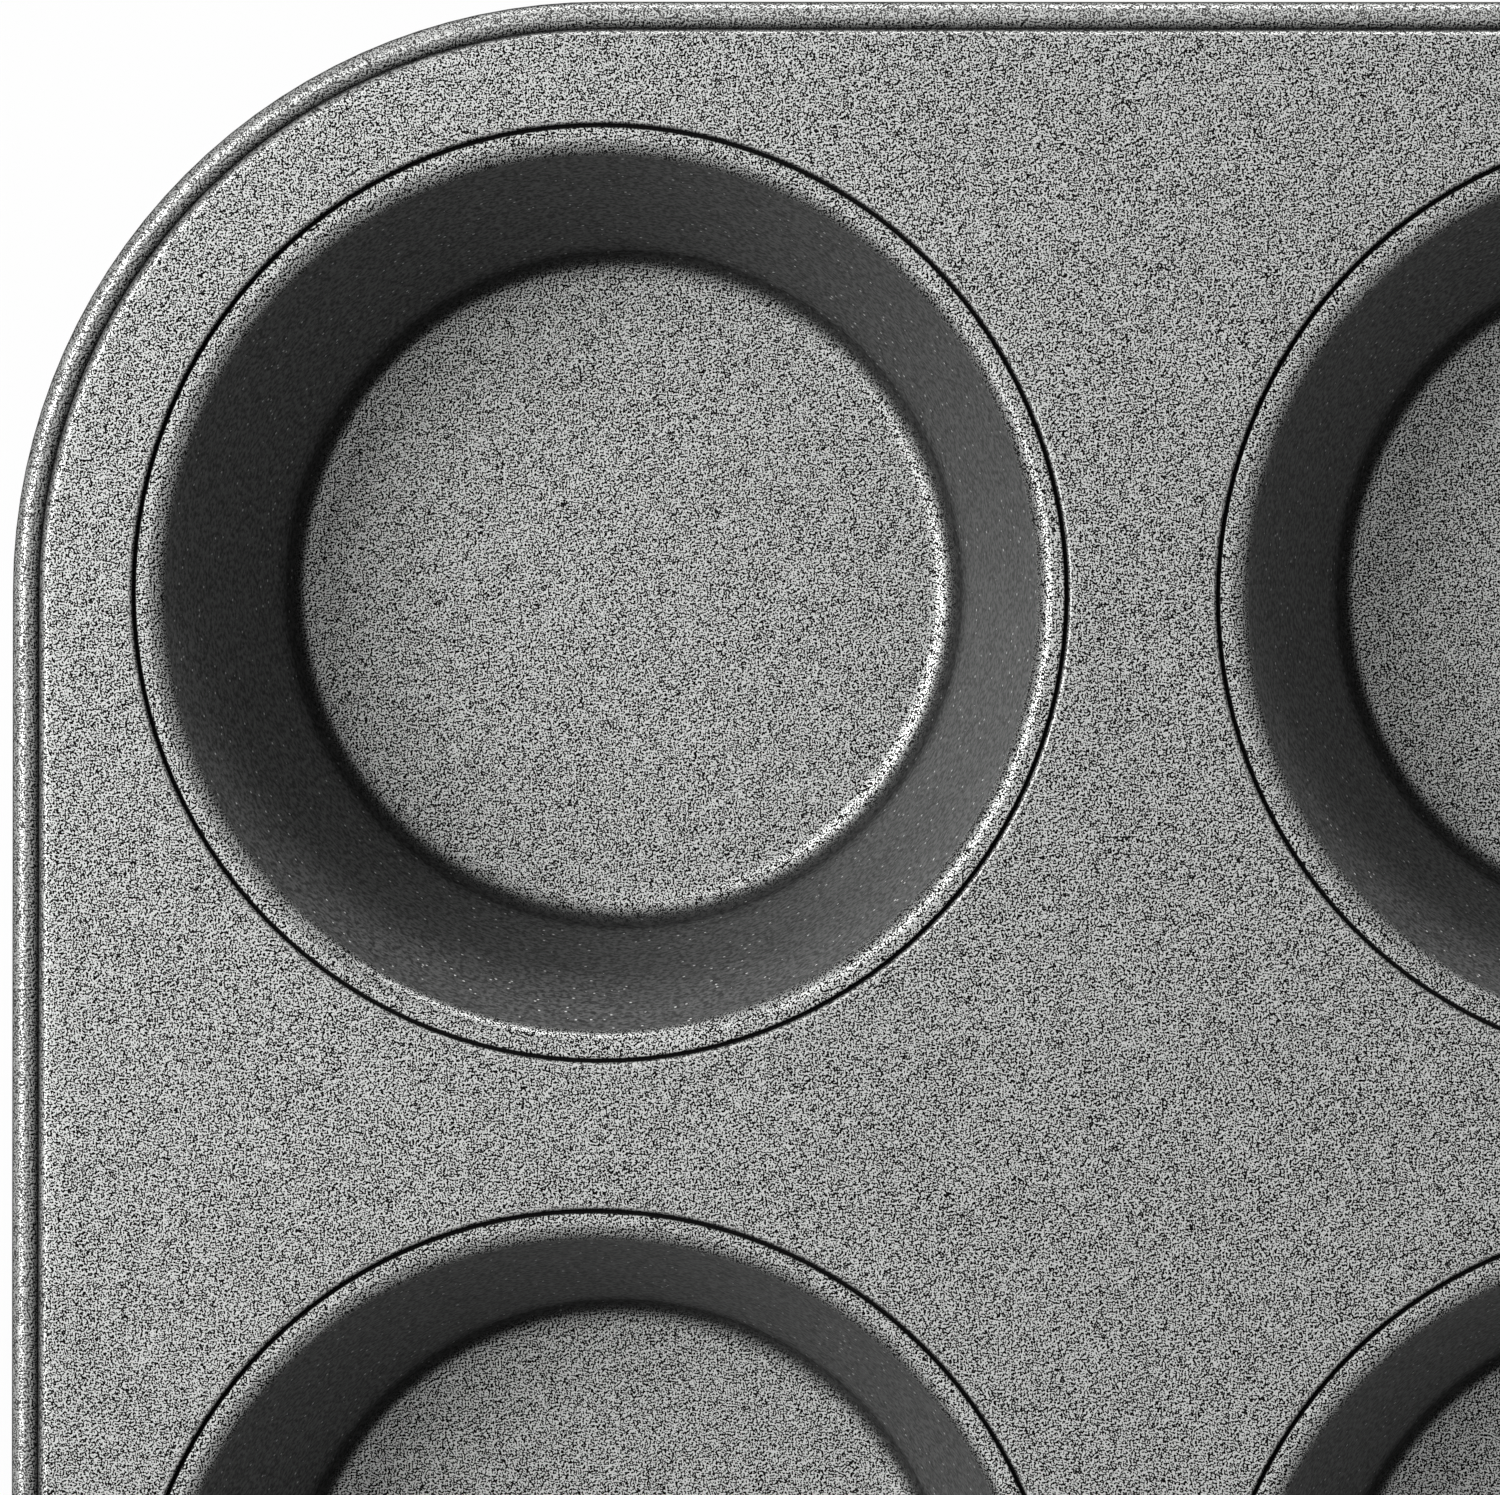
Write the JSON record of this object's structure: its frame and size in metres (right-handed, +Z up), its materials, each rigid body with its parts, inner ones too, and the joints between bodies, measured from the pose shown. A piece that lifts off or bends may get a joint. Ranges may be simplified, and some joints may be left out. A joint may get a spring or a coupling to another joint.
{
  "type": "muffin tin",
  "caption": "Rectangular baking tin with rounded corners, a wire-filled rolled rim and a grid of round tapered cups set by their lips in a stepped deck.",
  "frame": {"origin": "under the middle of the tin, on the plane that the cup floors stand on", "axes": "+X along the long side, +Y across it towards row 1 of the cups, +Z up out of the cups"},
  "size_m": [0.3536, 0.2672, 0.03],
  "materials": {
    "deck_coating": "textured nonstick coating, satin, mid grey",
    "cup_coating": "nonstick coating, satin, dark grey on the walls and textured on floor and lip",
    "wire": "plain drawn steel wire"
  },
  "bodies": {
    "root": {"deck": "deck_coating", "rim_wire": "wire", "cup_r1c1": "cup_coating", "cup_r1c2": "cup_coating", "cup_r1c3": "cup_coating", "cup_r1c4": "cup_coating", "cup_r2c1": "cup_coating", "cup_r2c2": "cup_coating", "cup_r2c3": "cup_coating", "cup_r2c4": "cup_coating", "cup_r3c1": "cup_coating", "cup_r3c2": "cup_coating", "cup_r3c3": "cup_coating", "cup_r3c4": "cup_coating"}
  },
  "joints": []
}
